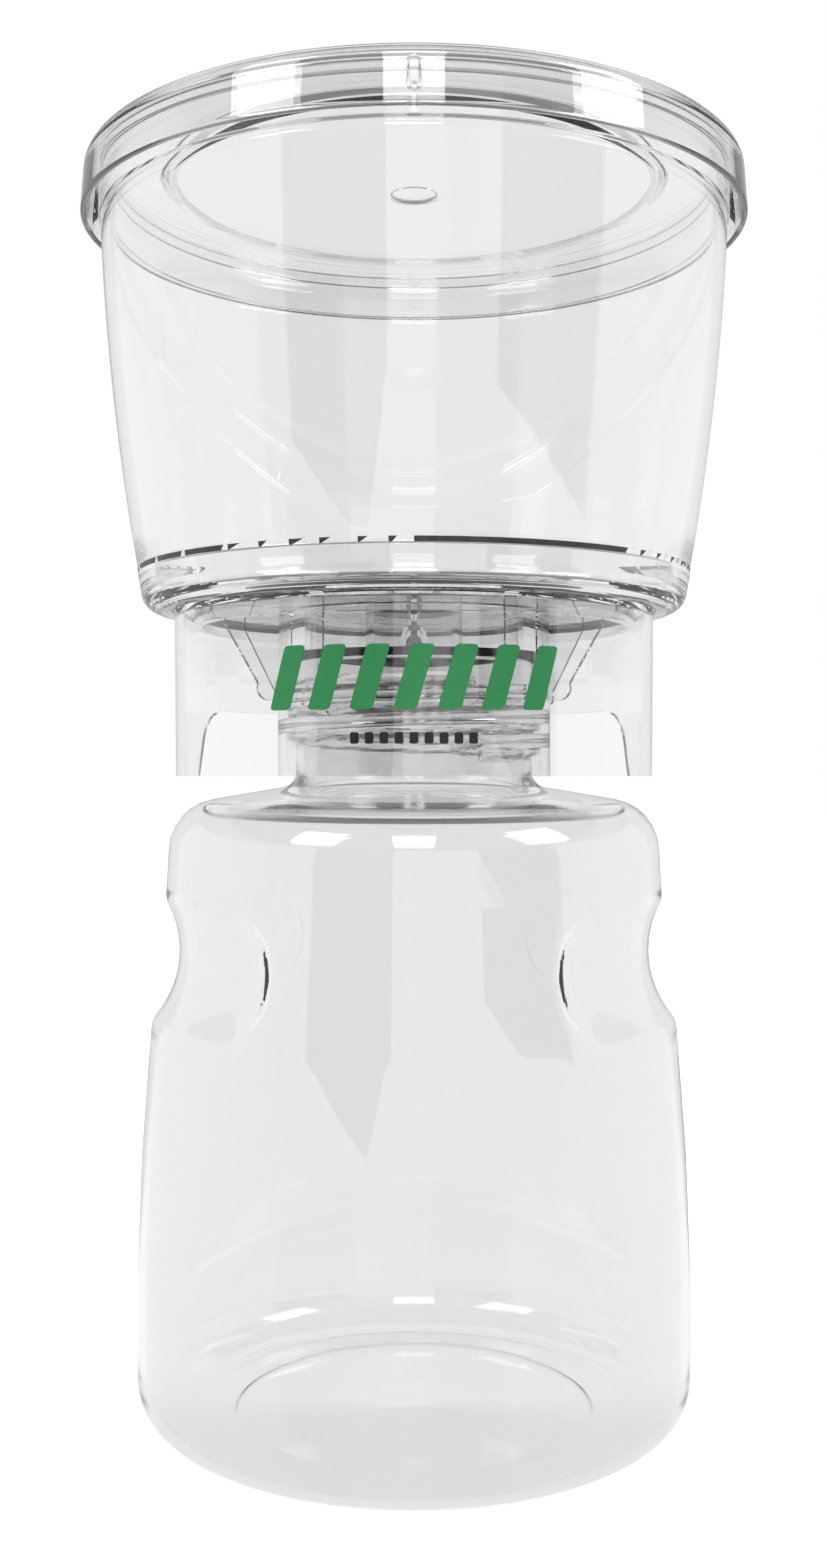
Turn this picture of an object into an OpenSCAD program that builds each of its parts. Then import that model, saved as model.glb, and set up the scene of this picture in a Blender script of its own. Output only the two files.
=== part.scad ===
// Vacuum filtration unit: a lidded funnel welded to a filter adapter that screws onto a receiver bottle.
// All pieces turn about the Z axis; the bottle stands on z = 0 and the suction nozzle points along +Y.

/* [Bottle] */
// Outside radius of the wall above the heel
bottle_r = 46.25; // [45:0.05:50]
// Height at which the wall starts to lean in
foot_z = 24; // [16:0.5:36]
// Outside radius of the wall just below the finger grips
hip_r = 44; // [43:0.1:45]
// Height of that point
hip_z = 65.6; // [60:0.1:68]
// Outside radius of the wall just above the finger grips
chest_r = 41.6; // [40.6:0.1:43]
// Height of that point
chest_z = 87.4; // [84:0.1:90]
// Rounding of the shoulder
shoulder_round = 8.9; // [5:0.1:10]
// Height of the shoulder's highest round
shoulder_z = 103.2; // [102:0.1:104.5]
// Slope of the shoulder's top towards the neck
shoulder_slope = 9.7; // [6:0.1:14]
// Rounding of the heel, seen in section
heel_round = 8; // [5:0.1:10]
// Radius of the panel that is pushed up into the base
push_r = 30.3; // [24:0.1:34]
// Height of the step around that panel
push_step = 0.9; // [0.4:0.1:1.5]
// Height of the panel's middle, which is domed
push_h = 2.6; // [2:0.1:6]
// Thickness of the bottle's wall
bottle_wall = 1.3; // [0.9:0.1:2]

/* [Finger grips] */
// Height of the middle of the grips
grip_z = 78.1; // [75:0.1:80]
// Depth of a grip
grip_depth = 3.4; // [2:0.1:4]
// Radius of the groove, seen in section
grip_round = 17; // [13:0.1:20]
// Angle that the even part of each grip runs around its side
grip_span = 91.4; // [60:0.1:100]

/* [Neck] */
// Outside radius of the neck, without its thread
neck_r = 20; // [18.5:0.1:21.5]
// Thickness of the neck's wall
neck_wall = 1.5; // [1.2:0.1:2.5]
// Height of the neck's rim
neck_top_z = 126.1; // [122:0.1:132]
// Room for the two screw threads between neck and collar
thread_room = 1.75; // [1.4:0.05:2.2]

/* [Neck seal] */
// Thickness of the seal ring
seal_t = 1.1; // [0.8:0.1:2]
// Gap kept between the seal and the moving pieces
seal_gap = 0.05; // [0.03:0.01:0.1]

/* [Adapter] */
// Distance from the seal's shelf up to the underside of the plate
shelf_drop = 6.9; // [6.2:0.1:9]
// Thickness of the plate at its middle
plate_t = 1; // [0.8:0.1:2]
// Fall of the plate's upper side towards the outlet
plate_fall = 0.3; // [0.2:0.1:1]
// Outside radius of the skirt at the plate
skirt_r = 40.1; // [38:0.1:42]
// Length of the skirt below the plate
skirt_h = 27.2; // [25:0.1:27.5]
// Thickness of the skirt's wall
skirt_wall = 1.3; // [1:0.1:2]
// Narrowing of the skirt towards its lower edge
skirt_draft = 0.15; // [0:0.05:0.4]
// Thickness of the threaded collar
collar_wall = 1.25; // [1:0.05:2]
// Outside radius of the outlet spout
spout_r = 8.3; // [7:0.1:10]
// Thickness of the spout's wall
spout_wall = 1.4; // [1:0.1:2]
// Length of the spout below the plate
spout_h = 17.4; // [12:0.1:22]
// Height of the window in the back of the skirt
window_h = 11.6; // [8:0.1:14]
// Rounding of the window's upper corners
window_round = 8.5; // [3:0.1:9]
// Distance of the window's front edges behind the axis, at the skirt's lower edge
window_back = 7.8; // [4:0.1:14]
// Backward lean of those edges
window_lean = 19.5; // [5:0.5:30]

/* [Gusset ribs] */
// Number of ribs between plate and collar
rib_count = 6; // [3:1:8]
// Thickness of a rib
rib_t = 0.9; // [0.7:0.1:2.4]
// Radius that a rib reaches at the plate
rib_top_r = 36.3; // [32:0.1:37.5]
// Radius that a rib reaches at its lower end
rib_foot_r = 28.9; // [26:0.1:31]
// Length of a rib below the plate
rib_h = 15; // [10:0.1:18]
// Height of the stiffening ring that crosses the ribs
ring_h = 2.6; // [1:0.1:4]

/* [Filter cup] */
// Outside radius of the cup at the weld line
cup_r = 46.2; // [45.5:0.1:48]
// Thickness of the cup's wall
cup_wall = 1.3; // [1:0.1:1.8]
// Rounding under the cup's edge
cup_round = 3.4; // [1.5:0.1:3.6]
// Depth of the cup above the ledge that carries the membrane
cup_h = 4.3; // [2.6:0.1:5]
// Width of that ledge
ledge_w = 2.3; // [1.5:0.1:3]
// Number of raised rings that carry the membrane
ring_count = 5; // [3:1:7]
// Width of a raised ring
ring_w = 1; // [0.7:0.1:1.4]
// Number of drain channels through the rings
channel_count = 8; // [4:1:12]
// Width of a drain channel
channel_w = 2.2; // [1.5:0.1:3]

/* [Membrane] */
// Thickness of the filter membrane
membrane_t = 0.2; // [0.1:0.05:0.4]

/* [Funnel] */
// Height of the funnel from the weld line to its rim
funnel_h = 66; // [60:0.1:80]
// Outside radius under the rim
funnel_top_r = 52.3; // [51:0.1:53]
// Outward bow of the wall at half height
funnel_bow = 1; // [0:0.1:1.5]
// Thickness of the wall
funnel_wall = 1.5; // [1.1:0.1:2]
// Height of the thicker band below the rim
band_h = 7.95; // [5:0.05:9]
// Width that the rim stands out from the band
rim_w = 0.7; // [0.5:0.1:1.4]
// Thickness of the rim
rim_t = 1.8; // [1:0.1:2.2]

/* [Lid] */
// Radial clearance between the lid's centring nubs and the funnel's rim
lid_clearance = 0.2; // [0.15:0.05:0.5]
// Thickness of the lid
lid_wall = 1.9; // [1.2:0.1:2.4]
// Length of the lid's skirt below its top
lid_h = 9.45; // [7:0.05:12]
// Outward lean of the skirt towards its lower edge
lid_draft = 0.7; // [0:0.1:0.9]
// Rounding of the lid's upper edge
lid_round = 2.5; // [1:0.1:2.6]
// Radius of the sunk middle panel
panel_r = 40.1; // [30:0.1:44]
// Depth of the sunk middle panel
panel_drop = 1.6; // [1.2:0.1:3]
// Radius of the moulding mark in the middle
gate_r = 3.9; // [2.5:0.1:6]

/* [Suction nozzle] */
// Length of the barbed end beyond the flange
barb_l = 12; // [10:0.1:12.2]
// Radius of the barbs' crests
barb_r = 4; // [3.5:0.1:4.3]
// Radius of the air passage
air_r = 1.6; // [1:0.1:2]
// Radius of the nozzle's shank
shank_r = 3.3; // [3:0.05:3.4]
// Thickness of the nozzle's flange
flange_t = 1.4; // [1:0.1:2]

/* [Hidden] */
$fn = 96;
eps = 0.02;

clear_plastic = [0.90, 0.93, 0.94, 0.45];
white_fleece = [0.96, 0.96, 0.94];
silicone = [0.86, 0.87, 0.86, 0.8];

// Neck and seal
thread_r = neck_r + thread_room;
shelf_z = neck_top_z + 2 * seal_gap + seal_t;
seal_in_r = neck_r - neck_wall + 0.2;
seal_out_r = thread_r - 0.3;

// Adapter
plate_z = shelf_z + shelf_drop;
drain_z = plate_z + plate_t;
floor_z = drain_z + plate_fall;
ledge_z = floor_z + 0.6;
weld_z = ledge_z + cup_h;
skirt_z = plate_z - skirt_h;
collar_r = thread_r + collar_wall;
throat_r = seal_in_r - 0.1;
cup_in_r = cup_r - cup_wall;
ledge_r = cup_in_r - ledge_w;
cup_foot_r = cup_r - 0.5;
port_z = plate_z - 4.2;
port_r = 4.4;
port_start_y = thread_r + 0.4;
port_end_y = skirt_r + 1.5;
shank_in_y = 30;

// Membrane and funnel
membrane_z = ledge_z + eps;
membrane_r = cup_in_r - 0.2;
spigot_r = cup_in_r - 0.1;
spigot_in_r = spigot_r - 1.6;
spigot_z = membrane_z + membrane_t + eps;
foot_r = cup_r - 0.15;
rim_z = weld_z + funnel_h;
band_z = rim_z - band_h;
band_r = funnel_top_r + 0.3;
rim_r = band_r + rim_w;

// Lid
nub_r = 1.1;
nub_lift = 2;
nub_sunk = 0.8;
nub_in_r = rim_r + lid_clearance;
skirt_in_r = nub_in_r + 0.35;
lid_under_z = rim_z + 0.1;
lid_top_z = lid_under_z + lid_wall;
lid_edge_z = lid_top_z - lid_h;
lid_out_r = skirt_in_r + 1;
lid_chamfer = 0.5;
panel_top_z = lid_top_z - panel_drop;

// Points along an arc about [cx, cz]
function arc(cx, cz, r, a0, a1, n = 8) =
    [for (i = [0 : n]) let (a = a0 + (a1 - a0) * i / n) [cx + r * cos(a), cz + r * sin(a)]];

// Pushed-up panel of the base moved upwards by t: flat in its middle, domed, with a step around it
dome_flat_r = 6;
function pushed_up(t) = concat(
    [for (i = [0 : 7]) let (share = i / 7)
        [dome_flat_r + (push_r - push_step - dome_flat_r) * share,
         t + push_step + (push_h - push_step) * (1 - share * share)]],
    [[push_r, t]]);

// Section of the bottle moved inwards by t; t = 0 is the outside
shoulder_cx = chest_r - 0.8 - shoulder_round;
shoulder_cz = shoulder_z - shoulder_round * cos(shoulder_slope);
function bottle_section(t) = concat(
    [[0, push_h + t]], pushed_up(t),
    arc(bottle_r - heel_round, heel_round, heel_round - t, -90, 0, 8),
    [[bottle_r - t, foot_z],
     [(bottle_r + hip_r) / 2 + 0.4 - t, (foot_z + hip_z) / 2],
     [hip_r - t, hip_z],
     [chest_r - t, chest_z]],
    arc(shoulder_cx, shoulder_cz, shoulder_round - t, 0, 90 - shoulder_slope, 8),
    neck_fillet(t),
    [[neck_r - (t > 0 ? neck_wall : 0), neck_top_z + (t > 0 ? 1 : 0)],
     [0, neck_top_z + (t > 0 ? 1 : 0)]]);

// Inward curve from the shoulder's slope into the neck
fillet_r = 2.4;
function neck_fillet(t) =
    let (wall = t > 0 ? neck_wall : 0,
         cx = neck_r + fillet_r,
         top_z = shoulder_z + (shoulder_cx - neck_r - fillet_r) * tan(shoulder_slope),
         cz = top_z + fillet_r)
    arc(cx, cz, fillet_r + (t > 0 ? (t + wall) / 2 : 0), -90 - shoulder_slope, -180, 4);

// Groove of one finger grip, cut from the side at +X, with ball ends.
// Each ball is a little smaller than the groove and sits just past its end.
ball_smaller = 0.2;
ball_past = 0.8;
module grip_tool(t) {
    middle_r = (hip_r + chest_r) / 2 - grip_depth + grip_round;
    ball_a = grip_span / 2 + ball_past;
    rotate([0, 0, -grip_span / 2])
        rotate_extrude(angle = grip_span)
            translate([middle_r, grip_z])
                circle(r = grip_round + t);
    for (a = [-ball_a, ball_a])
        rotate([0, 0, a])
            translate([middle_r, 0, grip_z])
                sphere(r = grip_round - ball_smaller + t);
}

module grip_tools(t) {
    grip_tool(t);
    mirror([1, 0, 0]) grip_tool(t);
}

module bottle() {
    color(clear_plastic)
        difference() {
            difference() {
                rotate_extrude() polygon(bottle_section(0));
                grip_tools(0);
            }
            difference() {
                rotate_extrude() polygon(bottle_section(bottle_wall));
                grip_tools(bottle_wall);
            }
        }
}

module neck_seal() {
    color(silicone)
        translate([0, 0, neck_top_z + seal_gap])
            difference() {
                cylinder(h = seal_t, r = seal_out_r);
                translate([0, 0, -1]) cylinder(h = seal_t + 2, r = seal_in_r);
            }
}

// Plate, cup, collar and spout as one section
module adapter_lathe() {
    rotate_extrude()
        polygon(concat(
            [[spout_r - spout_wall, drain_z], [ledge_r, floor_z], [ledge_r, ledge_z], [cup_in_r, ledge_z],
             [cup_in_r, weld_z], [cup_r, weld_z]],
            arc(cup_foot_r - cup_round, plate_z + cup_round, cup_round, 0, -90, 6),
            [[collar_r, plate_z], [collar_r, skirt_z], [thread_r, skirt_z], [thread_r, shelf_z],
             [throat_r, shelf_z], [throat_r, plate_z],
             [spout_r, plate_z], [spout_r, plate_z - spout_h], [spout_r - spout_wall, plate_z - spout_h]]));
}

// Outer skirt with the rounded window across its back
module skirt() {
    difference() {
        rotate_extrude()
            polygon([[skirt_r - skirt_wall, plate_z + 0.5],
                     [skirt_r - skirt_wall - skirt_draft, skirt_z],
                     [skirt_r - skirt_draft, skirt_z],
                     [skirt_r, plate_z - 0.8],
                     [skirt_r + 0.8, plate_z + 0.2],
                     [skirt_r + 0.8, plate_z + 0.5]]);
        translate([0, 0, skirt_z + window_h])
            rotate([0, -90, 0])
                linear_extrude(height = 2 * skirt_r + 2, center = true)
                    window_outline();
    }
}

// Seen from the side: x runs up to the window's top edge at 0, y to the back
module window_outline() {
    straight_h = window_h - window_round * (1 - sin(window_lean));
    corner_y = window_back + straight_h * tan(window_lean) + window_round * cos(window_lean);
    polygon(concat(
        [[-window_h - 1, skirt_r + 8], [-window_h - 1, window_back - tan(window_lean)]],
        arc(-window_round, corner_y, window_round, window_lean - 90, 0, 8),
        [[0, skirt_r + 8]]));
}

// Stiffening ring under the plate
module plate_ring() {
    translate([0, 0, plate_z - ring_h])
        difference() {
            cylinder(h = ring_h + 0.2, r = rib_top_r + 0.7);
            translate([0, 0, -1]) cylinder(h = ring_h + 3, r = rib_top_r - 0.7);
        }
}

// One gusset between the plate and the collar
module rib() {
    foot_z0 = plate_z - rib_h;
    rotate([90, 0, 0])
        linear_extrude(height = rib_t, center = true)
            polygon(concat(
                [[thread_r + 0.3, plate_z + 0.2], [rib_top_r, plate_z + 0.2]],
                arc(rib_foot_r - 2, foot_z0 + 2, 2, 20, -90, 5),
                [[thread_r + 0.3, foot_z0]]));
}

// Raised rings on the plate that hold the membrane flat
module membrane_rings() {
    difference() {
        for (i = [1 : ring_count]) {
            r = spout_r + (ledge_r - spout_r) * i / (ring_count + 1);
            translate([0, 0, drain_z - 0.5])
                difference() {
                    cylinder(h = ledge_z - drain_z + 0.5, r = r + ring_w / 2);
                    translate([0, 0, -1])
                        cylinder(h = ledge_z - drain_z + 3, r = r - ring_w / 2);
                }
        }
        for (i = [0 : channel_count - 1])
            rotate([0, 0, (i + 0.5) * 360 / channel_count])
                translate([0, -channel_w / 2, floor_z])
                    cube([ledge_r + 2, channel_w, 5]);
    }
}

module adapter() {
    color(clear_plastic)
        difference() {
            union() {
                adapter_lathe();
                skirt();
                plate_ring();
                membrane_rings();
                for (i = [0 : rib_count - 1])
                    rotate([0, 0, -90 + i * 360 / rib_count]) rib();
                translate([0, port_start_y, port_z])
                    rotate([-90, 0, 0]) cylinder(h = port_end_y - port_start_y, r = port_r);
            }
            translate([0, throat_r - 3, port_z])
                rotate([-90, 0, 0]) cylinder(h = shank_in_y - throat_r + 4, r = air_r + 0.4);
            translate([0, shank_in_y, port_z])
                rotate([-90, 0, 0]) cylinder(h = port_end_y, r = shank_r + 0.05);
        }
}

// Barbed nozzle, turned about the Y axis
module hose_nozzle() {
    tip = port_end_y + flange_t + barb_l;
    step = (barb_l - 2.4) / 3;
    root_r = barb_r - 0.9;
    plug_r = shank_r - 0.8;
    plug_end = port_end_y - 1;
    barbs = [for (i = [0 : 2]) let (y = tip - step * (i + 1))
        each [[root_r, y + step], [barb_r, y + 1.2], [barb_r, y + 0.2], [root_r, y]]];
    color(clear_plastic)
        translate([0, 0, port_z])
            rotate([-90, 0, 0])
                rotate_extrude()
                    polygon(concat(
                        [[air_r, tip]],
                        barbs,
                        [[root_r, port_end_y + flange_t], [port_r, port_end_y + flange_t],
                         [port_r, port_end_y + eps], [shank_r, port_end_y + eps],
                         [shank_r, shank_in_y + 0.3], [plug_r, shank_in_y + 0.3],
                         [plug_r, plug_end], [air_r, plug_end]]));
}

module air_filter() {
    plug_r = shank_r - 0.85;
    color(white_fleece)
        translate([0, shank_in_y + 0.6, port_z])
            rotate([-90, 0, 0]) cylinder(h = port_end_y - 1.2 - shank_in_y - 0.6, r = plug_r);
}

module membrane() {
    color(white_fleece)
        translate([0, 0, membrane_z]) cylinder(h = membrane_t, r = membrane_r);
}

// Outside radius of the funnel at a share t of its height
function funnel_r(t) = foot_r + (funnel_top_r - foot_r) * t + 4 * funnel_bow * t * (1 - t);
funnel_steps = 10;

module funnel() {
    inner = funnel_r(1) - funnel_wall;
    color(clear_plastic)
        rotate_extrude()
            polygon(concat(
                [[spigot_in_r, spigot_z], [spigot_r, spigot_z], [spigot_r, weld_z + eps]],
                [for (i = [0 : funnel_steps]) let (t = i / funnel_steps)
                    [funnel_r(t), weld_z + eps + (band_z - weld_z - eps) * t]],
                [[band_r, band_z + 0.4], [band_r, rim_z - rim_t], [rim_r, rim_z - rim_t],
                 [rim_r, rim_z], [inner, rim_z]],
                [for (i = [funnel_steps : -1 : 1]) let (t = i / funnel_steps)
                    [funnel_r(t) - funnel_wall, weld_z + (band_z - weld_z) * t]],
                [[spigot_in_r, spigot_z + 1.6]]));
}

module lid() {
    step = panel_drop * 1.2;
    color(clear_plastic)
        difference() {
            union() {
                rotate_extrude()
                    polygon(concat(
                        [[0, panel_top_z], [panel_r, panel_top_z], [panel_r + step, lid_top_z]],
                        arc(lid_out_r - lid_round, lid_top_z - lid_round, lid_round, 90, 0, 5),
                        [[lid_out_r + lid_draft, lid_edge_z + 0.5], [lid_out_r + lid_draft - 0.3, lid_edge_z],
                         [skirt_in_r + lid_draft, lid_edge_z], [skirt_in_r, lid_under_z - lid_chamfer],
                         [skirt_in_r - lid_chamfer, lid_under_z],
                         [panel_r + step + 0.6, lid_under_z], [panel_r + 0.6, panel_top_z - lid_wall],
                         [0, panel_top_z - lid_wall]]));
                for (a = [0, 90, 180, 270])
                    rotate([0, 0, a]) nub();
            }
            translate([0, 0, panel_top_z - 0.5])
                cylinder(h = 2, r = gate_r);
        }
}

// Small round-ended nub that centres the lid on the funnel's rim
module nub() {
    intersection() {
        translate([nub_in_r + nub_r, 0, lid_edge_z + nub_lift + nub_r])
            union() {
                cylinder(h = lid_under_z + 0.2 - lid_edge_z - nub_lift - nub_r, r = nub_r);
                sphere(r = nub_r);
            }
        translate([0, 0, lid_edge_z])
            cylinder(h = lid_h, r = skirt_in_r + nub_sunk);
    }
}

bottle();
neck_seal();
adapter();
hose_nozzle();
air_filter();
membrane();
funnel();
lid();
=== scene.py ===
# %% [markdown]
# # A vacuum filtration unit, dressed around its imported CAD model
#
# A vacuum filtration unit is a lidded funnel on top of a receiver bottle. A pump pulls air out
# through the barbed nozzle, and the liquid is drawn through a white filter membrane into the
# bottle. Nearly every piece is water-clear moulded plastic, so this lesson is mostly about
# clear plastic: smooth walls of real thickness, and something bright and dark for them to bend.
#
# The CAD model is the frame. It gives the outer sizes and the places, and nothing here moves it.

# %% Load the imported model
import math

import bpy
import numpy as np
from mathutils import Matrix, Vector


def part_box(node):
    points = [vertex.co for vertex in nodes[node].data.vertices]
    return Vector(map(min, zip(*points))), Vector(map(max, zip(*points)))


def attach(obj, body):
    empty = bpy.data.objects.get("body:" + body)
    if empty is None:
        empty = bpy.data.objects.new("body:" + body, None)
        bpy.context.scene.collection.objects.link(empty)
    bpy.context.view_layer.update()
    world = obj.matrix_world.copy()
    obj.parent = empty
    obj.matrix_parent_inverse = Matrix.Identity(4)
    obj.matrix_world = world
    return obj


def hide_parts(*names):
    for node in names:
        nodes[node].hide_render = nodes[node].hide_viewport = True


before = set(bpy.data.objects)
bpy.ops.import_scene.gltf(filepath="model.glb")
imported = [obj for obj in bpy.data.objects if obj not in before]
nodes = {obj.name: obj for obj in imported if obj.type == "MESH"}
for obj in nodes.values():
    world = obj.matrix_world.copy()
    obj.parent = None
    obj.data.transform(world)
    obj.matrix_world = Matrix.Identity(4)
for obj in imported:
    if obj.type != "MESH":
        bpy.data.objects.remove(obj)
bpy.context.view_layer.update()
MM = 0.001

# %% [markdown]
# ## Where the pieces sit
#
# The CAD nodes say where each piece starts and ends, so the levels below are read from their
# boxes instead of being typed again. Only the fine shapes inside a piece are given as numbers,
# in millimetres.

# %% Read the main levels and radii from the CAD nodes
def top_of(node):
    """Height of a node's highest point, in millimetres."""
    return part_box(node)[1].z / MM


def foot_of(node):
    """Height of a node's lowest point, in millimetres."""
    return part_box(node)[0].z / MM


def radius_of(node):
    """Largest radius of a round node, in millimetres."""
    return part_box(node)[1].x / MM


neck_top = top_of("bottle")
bottle_r = radius_of("bottle")
weld_z = top_of("adapter")
rim_z = top_of("funnel")
rim_r = radius_of("funnel")
lid_top = top_of("lid")
lid_edge = foot_of("lid")
lid_edge_r = radius_of("lid")
print("neck top", neck_top, "weld", weld_z, "rim", rim_z, rim_r)
print("lid from", lid_edge, "to", lid_top, "radius", lid_edge_r)

# %% [markdown]
# ## The camera
#
# The unit is seen straight from the front, from only about 29 cm away and from about half its
# height. So close a camera looks up into the lid and down onto the heel, although it looks level.

# %% Place the camera
EYE_HEIGHT = 107.25 * MM
EYE_DISTANCE = 287 * MM
camera_data = bpy.data.cameras.new("camera")
camera_data.lens = 39.35
camera_data.sensor_width = 36
camera_data.clip_start = 0.01
camera = bpy.data.objects.new("camera", camera_data)
camera.location = (0, -EYE_DISTANCE, EYE_HEIGHT)
camera.rotation_euler = (math.radians(90), 0, 0)
bpy.context.scene.collection.objects.link(camera)
bpy.context.scene.camera = camera
print("camera at", tuple(round(v, 4) for v in camera.location))

# %% [markdown]
# ## Noise, ranges and bumps
#
# No moulded, printed or fibrous surface is perfectly even. Each finish of the unit takes its
# small changes of gloss and height from a noise texture, and all but the clear plastics their
# changes of colour too. The noise lives in object space, so it stays with a piece that moves. An
# image could do it, but noise has no seams and needs no unwrapping.

# %% Helpers for materials
def new_material(name):
    """A material with its node tree, its main shader and its output."""
    material = bpy.data.materials.new(name)
    material.use_nodes = True
    tree = material.node_tree
    return material, tree, tree.nodes["Principled BSDF"], tree.nodes["Material Output"]


def noise(tree, scale, detail, stretch=(1, 1, 1)):
    """Noise in object space, from 0 to 1."""
    place = tree.nodes.new("ShaderNodeTexCoord")
    squeeze = tree.nodes.new("ShaderNodeMapping")
    squeeze.inputs["Scale"].default_value = stretch
    texture = tree.nodes.new("ShaderNodeTexNoise")
    texture.inputs["Scale"].default_value = scale
    texture.inputs["Detail"].default_value = detail
    tree.links.new(place.outputs["Object"], squeeze.inputs["Vector"])
    tree.links.new(squeeze.outputs["Vector"], texture.inputs["Vector"])
    return texture.outputs["Fac"]


print("a new material starts with a Principled BSDF and an output")

# %% Ranges, colours and bumps from a noise
NOISE_LOW, NOISE_HIGH = 0.3, 0.7


def ranged(tree, source, low, high):
    """The usual range of a noise brought to the range low to high."""
    fit = tree.nodes.new("ShaderNodeMapRange")
    fit.inputs["From Min"].default_value = NOISE_LOW
    fit.inputs["From Max"].default_value = NOISE_HIGH
    fit.inputs["To Min"].default_value = low
    fit.inputs["To Max"].default_value = high
    tree.links.new(source, fit.inputs["Value"])
    return fit.outputs["Result"]


def shaded(tree, source, dark, pale, low=NOISE_LOW, high=NOISE_HIGH):
    """A colour that goes from dark to pale as the source goes from low to high."""
    ramp = tree.nodes.new("ShaderNodeValToRGB")
    for stop, position, color in zip(ramp.color_ramp.elements, (low, high), (dark, pale)):
        stop.position = position
        stop.color = (*color, 1)
    tree.links.new(source, ramp.inputs["Fac"])
    return ramp.outputs["Color"]


def bumped(tree, source, depth, strength):
    """Bump of a real depth in metres."""
    bump = tree.nodes.new("ShaderNodeBump")
    bump.inputs["Distance"].default_value = depth
    bump.inputs["Strength"].default_value = strength
    tree.links.new(source, bump.inputs["Height"])
    return bump.outputs["Normal"]


def speckled(name, dark, pale, grain, dents, roughness):
    """A finish whose colour, gloss and surface all follow one fine noise."""
    material, tree, surface, _ = new_material(name)
    speckle = noise(tree, *grain)
    tree.links.new(shaded(tree, speckle, dark, pale), surface.inputs["Base Color"])
    tree.links.new(bumped(tree, speckle, *dents), surface.inputs["Normal"])
    tree.links.new(ranged(tree, speckle, *roughness), surface.inputs["Roughness"])
    return material, surface


print("colour and gloss use a noise from", NOISE_LOW, "to", NOISE_HIGH)

# %% [markdown]
# ## Clear plastic
#
# Polystyrene bends light strongly (index of refraction 1.59). A moulded wall is glossy but
# never perfect: the melt leaves faint flow waves, and handling leaves a little haze. Both come
# from noise, as a small bump and a small change of roughness. The tint is nearly white. Light
# that is trapped in a wall travels far, and the plastic's slight absorption makes it dark.
#
# Lamps can't shine through a refracting shader without heavy noise, so for shadow rays a
# Light Path node swaps in a plain transparent shader that dims the light a little.

# %% Make the clear plastic
POLYSTYRENE_IOR = 1.59
ABSORPTION = 2
SHADOW_TINT = (0.93, 0.94, 0.94)


def clear_plastic(name, tint, haze, wave_scale, wave_depth):
    """Clear plastic with a grey tint, a range of roughness, and flow waves that run upwards."""
    material, tree, plastic, output = new_material(name)
    plastic.inputs["Base Color"].default_value = (tint, tint, tint, 1)
    plastic.inputs["IOR"].default_value = POLYSTYRENE_IOR
    plastic.inputs["Transmission Weight"].default_value = 1
    tree.links.new(ranged(tree, noise(tree, 60, 3), *haze), plastic.inputs["Roughness"])
    waves = noise(tree, wave_scale, 1, (1, 1, 0.35))
    tree.links.new(bumped(tree, waves, wave_depth, 1), plastic.inputs["Normal"])
    let_through = tree.nodes.new("ShaderNodeBsdfTransparent")
    let_through.inputs["Color"].default_value = (*SHADOW_TINT, 1)
    rays = tree.nodes.new("ShaderNodeLightPath")
    swap = tree.nodes.new("ShaderNodeMixShader")
    tree.links.new(rays.outputs["Is Shadow Ray"], swap.inputs["Fac"])
    tree.links.new(plastic.outputs["BSDF"], swap.inputs[1])
    tree.links.new(let_through.outputs["BSDF"], swap.inputs[2])
    tree.links.new(swap.outputs["Shader"], output.inputs["Surface"])
    absorbed = tree.nodes.new("ShaderNodeVolumeAbsorption")
    absorbed.inputs["Color"].default_value = (0, 0, 0, 1)
    absorbed.inputs["Density"].default_value = ABSORPTION
    tree.links.new(absorbed.outputs["Volume"], output.inputs["Volume"])
    return material


moulded_clear = clear_plastic("moulded_clear", 0.935, (0.001, 0.003), 45, 0.000008)
bottle_clear = clear_plastic("bottle_clear", 0.91, (0.001, 0.006), 30, 0.00003)
print("clear plastics:", moulded_clear.name, bottle_clear.name)

# %% [markdown]
# ## White pieces and the seal
#
# The membrane is a thin white polymer sheet full of tiny pores, matt all over. The air filter is
# a plug of white fibre. The seal is pale silicone, which lets some light in and looks waxy. All
# three are matt, so they share a low specular level and a high roughness. Pores and fibres are
# far too small to be modelled, so a fine noise with a small bump stands for them, and the dips of
# that bump are painted a little darker as shade.

# %% Make the membrane, fibre and silicone
SILICONE_IOR = 1.41


def matt_pale(name, color, pore_scale, pore_depth, spread):
    """A matt finish whose pores are darker than color by spread, as painted shade in the bump's dips."""
    # Painted shade: the lowest points of the pore bump get the darker colour.
    dark = [c - spread for c in color]
    material, surface = speckled(name, dark, color, (pore_scale, 4), (pore_depth, 0.6), (0.75, 0.9))
    surface.inputs["Specular IOR Level"].default_value = 0.25
    return material, surface


membrane_white, sheet = matt_pale("membrane_white", (0.88, 0.88, 0.86), 2500, 0.00003, 0.03)
sheet.inputs["Subsurface Weight"].default_value = 0.3
sheet.inputs["Subsurface Radius"].default_value = (0.001, 0.001, 0.001)
fibre_white, _ = matt_pale("fibre_white", (0.86, 0.86, 0.84), 900, 0.0002, 0.08)
silicone_pale, seal = matt_pale("silicone_pale", (0.80, 0.81, 0.80), 400, 0.00002, 0.02)
seal.inputs["Transmission Weight"].default_value = 0.35
seal.inputs["IOR"].default_value = SILICONE_IOR
print("matt finishes:", membrane_white.name, fibre_white.name, silicone_pale.name)

# %% [markdown]
# ## Smooth walls of revolution
#
# A clear wall shows every facet twice, once on each side, so the round walls are turned anew at
# a finer step than the CAD mesh. Each wall is one closed skin: a section of outer and inner
# points is swept around the axis, and the radius may change with the angle where the real
# piece isn't round. `rounded` puts a small radius on a section's corners, as a mould does.
# Subdividing a lathe could do it too, but then the walls would shrink away from the CAD sizes.

# %% Round a section's corners
ARC_STEP = math.radians(14)
NEARLY_STRAIGHT = math.radians(89.5)
MOST_OF_SIDE = 0.48


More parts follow.
